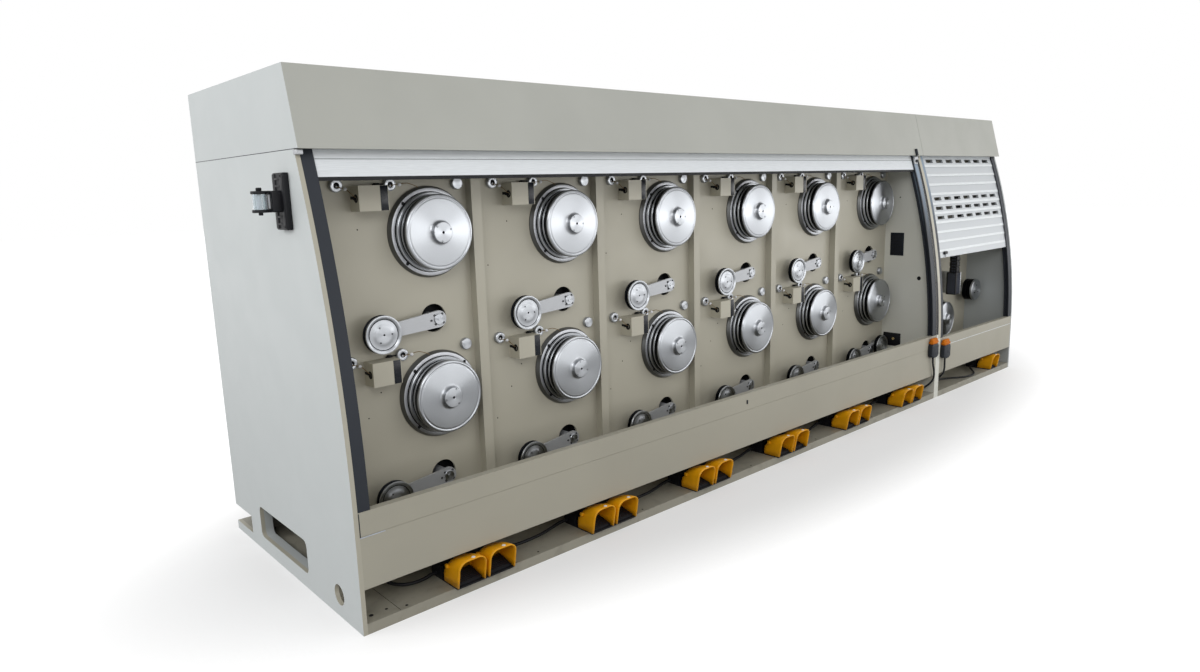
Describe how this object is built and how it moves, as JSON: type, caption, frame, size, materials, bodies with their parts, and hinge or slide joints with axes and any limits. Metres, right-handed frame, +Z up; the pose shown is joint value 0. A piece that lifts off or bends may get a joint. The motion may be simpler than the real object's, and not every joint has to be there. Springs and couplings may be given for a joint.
{
  "type": "wire drawing machine",
  "caption": "Dry wire drawing machine: a long cabinet with two rows of drawing capstans, dancer arms and die boxes, roller shutters under a hood, foot switches and an outlet unit.",
  "frame": {"origin": "centre of the cabinet's footprint, on the floor, on the flat underside of the base", "axes": "+Z up, -Y towards the operator at the shutters, +X to the right seen from the front, towards the outlet unit"},
  "size_m": [6.123, 1.438, 2.1],
  "materials": {
    "base_paint": "satin paint, worn at the toe",
    "panel_paint": "smooth satin light grey paint",
    "wall_paint": "satin warm grey paint",
    "hood_paint": "fine textured grey paint",
    "slat_metal": "light lacquered aluminium slats",
    "guide_black": "black anodised profile",
    "housing_steel": "ground steel, oiled",
    "capstan_steel": "turned and brushed hard steel",
    "arm_steel": "brushed steel plate",
    "roller_metal": "turned aluminium",
    "die_box_paint": "satin paint with a dark window",
    "guide_steel": "turned steel with a ceramic ring",
    "guard_yellow": "gloss signal yellow paint",
    "switch_black": "moulded black plastic",
    "connector_plastic": "dark grey moulded body with an orange cap",
    "cord_rubber": "black rubber sheath"
  },
  "bodies": {
    "frame": {"base_frame": "base_paint", "end_panels": "panel_paint", "unit_partition": "wall_paint", "hoods": "hood_paint", "roller_shutters": "slat_metal", "shutter_guides": "guide_black", "front_belts": "wall_paint", "mounting_walls": "wall_paint", "bay_posts": "wall_paint", "rear_panels": "panel_paint", "bearing_housings": "housing_steel", "die_boxes": "die_box_paint", "wire_guides": "guide_steel", "foot_guards": "guard_yellow", "foot_switches": "switch_black", "cord_connectors": "connector_plastic", "left_cord": "cord_rubber", "right_cord": "cord_rubber", "base_cables": "cord_rubber", "air_filter": "switch_black", "cable_chain": "switch_black"},
    "capstan_upper_1": {"capstan_upper_1": "capstan_steel"},
    "dancer_arm_upper_1": {"dancer_arm_upper_1": "arm_steel"},
    "dancer_pulley_upper_1": {"dancer_pulley_upper_1": "roller_metal"},
    "capstan_upper_2": {"capstan_upper_2": "capstan_steel"},
    "dancer_arm_upper_2": {"dancer_arm_upper_2": "arm_steel"},
    "dancer_pulley_upper_2": {"dancer_pulley_upper_2": "roller_metal"},
    "capstan_upper_3": {"capstan_upper_3": "capstan_steel"},
    "dancer_arm_upper_3": {"dancer_arm_upper_3": "arm_steel"},
    "dancer_pulley_upper_3": {"dancer_pulley_upper_3": "roller_metal"},
    "capstan_upper_4": {"capstan_upper_4": "capstan_steel"},
    "dancer_arm_upper_4": {"dancer_arm_upper_4": "arm_steel"},
    "dancer_pulley_upper_4": {"dancer_pulley_upper_4": "roller_metal"},
    "capstan_upper_5": {"capstan_upper_5": "capstan_steel"},
    "dancer_arm_upper_5": {"dancer_arm_upper_5": "arm_steel"},
    "dancer_pulley_upper_5": {"dancer_pulley_upper_5": "roller_metal"},
    "capstan_upper_6": {"capstan_upper_6": "capstan_steel"},
    "dancer_arm_upper_6": {"dancer_arm_upper_6": "arm_steel"},
    "dancer_pulley_upper_6": {"dancer_pulley_upper_6": "roller_metal"},
    "capstan_lower_1": {"capstan_lower_1": "capstan_steel"},
    "dancer_arm_lower_1": {"dancer_arm_lower_1": "arm_steel"},
    "dancer_pulley_lower_1": {"dancer_pulley_lower_1": "roller_metal"},
    "capstan_lower_2": {"capstan_lower_2": "capstan_steel"},
    "dancer_arm_lower_2": {"dancer_arm_lower_2": "arm_steel"},
    "dancer_pulley_lower_2": {"dancer_pulley_lower_2": "roller_metal"},
    "capstan_lower_3": {"capstan_lower_3": "capstan_steel"},
    "dancer_arm_lower_3": {"dancer_arm_lower_3": "arm_steel"},
    "dancer_pulley_lower_3": {"dancer_pulley_lower_3": "roller_metal"},
    "capstan_lower_4": {"capstan_lower_4": "capstan_steel"},
    "dancer_arm_lower_4": {"dancer_arm_lower_4": "arm_steel"},
    "dancer_pulley_lower_4": {"dancer_pulley_lower_4": "roller_metal"},
    "capstan_lower_5": {"capstan_lower_5": "capstan_steel"},
    "dancer_arm_lower_5": {"dancer_arm_lower_5": "arm_steel"},
    "dancer_pulley_lower_5": {"dancer_pulley_lower_5": "roller_metal"},
    "capstan_lower_6": {"capstan_lower_6": "capstan_steel"},
    "dancer_arm_lower_6": {"dancer_arm_lower_6": "arm_steel"},
    "dancer_pulley_lower_6": {"dancer_pulley_lower_6": "roller_metal"},
    "outlet_capstan": {"outlet_capstan": "capstan_steel"},
    "corner_roller": {"corner_roller": "roller_metal"},
    "outlet_roller": {"outlet_roller": "roller_metal"}
  },
  "joints": [
    {"name": "capstan_upper_1_spin", "type": "hinge", "parent": "frame", "child": "capstan_upper_1", "pos_m": [-2.3575, -0.346, 1.4655], "axis": [0, 1, 0], "continuous": true},
    {"name": "dancer_upper_1_swing", "type": "hinge", "parent": "frame", "child": "dancer_arm_upper_1", "pos_m": [-2.3604, -0.294, 1.0861], "axis": [0, 1, 0], "range_deg": [0, 30]},
    {"name": "pulley_upper_1_spin", "type": "hinge", "parent": "dancer_arm_upper_1", "child": "dancer_pulley_upper_1", "pos_m": [-2.6436, -0.322, 1.0588], "axis": [0, 1, 0], "continuous": true},
    {"name": "capstan_upper_2_spin", "type": "hinge", "parent": "frame", "child": "capstan_upper_2", "pos_m": [-1.6125, -0.346, 1.4655], "axis": [0, 1, 0], "continuous": true},
    {"name": "dancer_upper_2_swing", "type": "hinge", "parent": "frame", "child": "dancer_arm_upper_2", "pos_m": [-1.6154, -0.294, 1.0861], "axis": [0, 1, 0], "range_deg": [0, 30]},
    {"name": "pulley_upper_2_spin", "type": "hinge", "parent": "dancer_arm_upper_2", "child": "dancer_pulley_upper_2", "pos_m": [-1.8986, -0.322, 1.0588], "axis": [0, 1, 0], "continuous": true},
    {"name": "capstan_upper_3_spin", "type": "hinge", "parent": "frame", "child": "capstan_upper_3", "pos_m": [-0.8675, -0.346, 1.4655], "axis": [0, 1, 0], "continuous": true},
    {"name": "dancer_upper_3_swing", "type": "hinge", "parent": "frame", "child": "dancer_arm_upper_3", "pos_m": [-0.8704, -0.294, 1.0861], "axis": [0, 1, 0], "range_deg": [0, 30]},
    {"name": "pulley_upper_3_spin", "type": "hinge", "parent": "dancer_arm_upper_3", "child": "dancer_pulley_upper_3", "pos_m": [-1.1536, -0.322, 1.0588], "axis": [0, 1, 0], "continuous": true},
    {"name": "capstan_upper_4_spin", "type": "hinge", "parent": "frame", "child": "capstan_upper_4", "pos_m": [-0.1225, -0.346, 1.4655], "axis": [0, 1, 0], "continuous": true},
    {"name": "dancer_upper_4_swing", "type": "hinge", "parent": "frame", "child": "dancer_arm_upper_4", "pos_m": [-0.1254, -0.294, 1.0861], "axis": [0, 1, 0], "range_deg": [0, 30]},
    {"name": "pulley_upper_4_spin", "type": "hinge", "parent": "dancer_arm_upper_4", "child": "dancer_pulley_upper_4", "pos_m": [-0.4086, -0.322, 1.0588], "axis": [0, 1, 0], "continuous": true},
    {"name": "capstan_upper_5_spin", "type": "hinge", "parent": "frame", "child": "capstan_upper_5", "pos_m": [0.6225, -0.346, 1.4655], "axis": [0, 1, 0], "continuous": true},
    {"name": "dancer_upper_5_swing", "type": "hinge", "parent": "frame", "child": "dancer_arm_upper_5", "pos_m": [0.6196, -0.294, 1.0861], "axis": [0, 1, 0], "range_deg": [0, 30]},
    {"name": "pulley_upper_5_spin", "type": "hinge", "parent": "dancer_arm_upper_5", "child": "dancer_pulley_upper_5", "pos_m": [0.3364, -0.322, 1.0588], "axis": [0, 1, 0], "continuous": true},
    {"name": "capstan_upper_6_spin", "type": "hinge", "parent": "frame", "child": "capstan_upper_6", "pos_m": [1.3675, -0.346, 1.4655], "axis": [0, 1, 0], "continuous": true},
    {"name": "dancer_upper_6_swing", "type": "hinge", "parent": "frame", "child": "dancer_arm_upper_6", "pos_m": [1.3646, -0.294, 1.0861], "axis": [0, 1, 0], "range_deg": [0, 30]},
    {"name": "pulley_upper_6_spin", "type": "hinge", "parent": "dancer_arm_upper_6", "child": "dancer_pulley_upper_6", "pos_m": [1.0814, -0.322, 1.0588], "axis": [0, 1, 0], "continuous": true},
    {"name": "capstan_lower_1_spin", "type": "hinge", "parent": "frame", "child": "capstan_lower_1", "pos_m": [-2.3575, -0.346, 0.7425], "axis": [0, 1, 0], "continuous": true},
    {"name": "dancer_lower_1_swing", "type": "hinge", "parent": "frame", "child": "dancer_arm_lower_1", "pos_m": [-2.3604, -0.294, 0.3631], "axis": [0, 1, 0], "range_deg": [0, 30]},
    {"name": "pulley_lower_1_spin", "type": "hinge", "parent": "dancer_arm_lower_1", "child": "dancer_pulley_lower_1", "pos_m": [-2.6436, -0.322, 0.3358], "axis": [0, 1, 0], "continuous": true},
    {"name": "capstan_lower_2_spin", "type": "hinge", "parent": "frame", "child": "capstan_lower_2", "pos_m": [-1.6125, -0.346, 0.7425], "axis": [0, 1, 0], "continuous": true},
    {"name": "dancer_lower_2_swing", "type": "hinge", "parent": "frame", "child": "dancer_arm_lower_2", "pos_m": [-1.6154, -0.294, 0.3631], "axis": [0, 1, 0], "range_deg": [0, 30]},
    {"name": "pulley_lower_2_spin", "type": "hinge", "parent": "dancer_arm_lower_2", "child": "dancer_pulley_lower_2", "pos_m": [-1.8986, -0.322, 0.3358], "axis": [0, 1, 0], "continuous": true},
    {"name": "capstan_lower_3_spin", "type": "hinge", "parent": "frame", "child": "capstan_lower_3", "pos_m": [-0.8675, -0.346, 0.7425], "axis": [0, 1, 0], "continuous": true},
    {"name": "dancer_lower_3_swing", "type": "hinge", "parent": "frame", "child": "dancer_arm_lower_3", "pos_m": [-0.8704, -0.294, 0.3631], "axis": [0, 1, 0], "range_deg": [0, 30]},
    {"name": "pulley_lower_3_spin", "type": "hinge", "parent": "dancer_arm_lower_3", "child": "dancer_pulley_lower_3", "pos_m": [-1.1536, -0.322, 0.3358], "axis": [0, 1, 0], "continuous": true},
    {"name": "capstan_lower_4_spin", "type": "hinge", "parent": "frame", "child": "capstan_lower_4", "pos_m": [-0.1225, -0.346, 0.7425], "axis": [0, 1, 0], "continuous": true},
    {"name": "dancer_lower_4_swing", "type": "hinge", "parent": "frame", "child": "dancer_arm_lower_4", "pos_m": [-0.1254, -0.294, 0.3631], "axis": [0, 1, 0], "range_deg": [0, 30]},
    {"name": "pulley_lower_4_spin", "type": "hinge", "parent": "dancer_arm_lower_4", "child": "dancer_pulley_lower_4", "pos_m": [-0.4086, -0.322, 0.3358], "axis": [0, 1, 0], "continuous": true},
    {"name": "capstan_lower_5_spin", "type": "hinge", "parent": "frame", "child": "capstan_lower_5", "pos_m": [0.6225, -0.346, 0.7425], "axis": [0, 1, 0], "continuous": true},
    {"name": "dancer_lower_5_swing", "type": "hinge", "parent": "frame", "child": "dancer_arm_lower_5", "pos_m": [0.6196, -0.294, 0.3631], "axis": [0, 1, 0], "range_deg": [0, 30]},
    {"name": "pulley_lower_5_spin", "type": "hinge", "parent": "dancer_arm_lower_5", "child": "dancer_pulley_lower_5", "pos_m": [0.3364, -0.322, 0.3358], "axis": [0, 1, 0], "continuous": true},
    {"name": "capstan_lower_6_spin", "type": "hinge", "parent": "frame", "child": "capstan_lower_6", "pos_m": [1.3675, -0.346, 0.7425], "axis": [0, 1, 0], "continuous": true},
    {"name": "dancer_lower_6_swing", "type": "hinge", "parent": "frame", "child": "dancer_arm_lower_6", "pos_m": [1.3646, -0.294, 0.3631], "axis": [0, 1, 0], "range_deg": [0, 30]},
    {"name": "pulley_lower_6_spin", "type": "hinge", "parent": "dancer_arm_lower_6", "child": "dancer_pulley_lower_6", "pos_m": [1.0814, -0.322, 0.3358], "axis": [0, 1, 0], "continuous": true},
    {"name": "outlet_capstan_spin", "type": "hinge", "parent": "frame", "child": "outlet_capstan", "pos_m": [2.42, -0.386, 0.468], "axis": [0, 1, 0], "continuous": true},
    {"name": "corner_roller_spin", "type": "hinge", "parent": "frame", "child": "corner_roller", "pos_m": [1.47, -0.322, 0.379], "axis": [0, 1, 0], "continuous": true},
    {"name": "outlet_roller_spin", "type": "hinge", "parent": "frame", "child": "outlet_roller", "pos_m": [2.85, -0.403, 0.675], "axis": [0, 1, 0], "continuous": true}
  ]
}
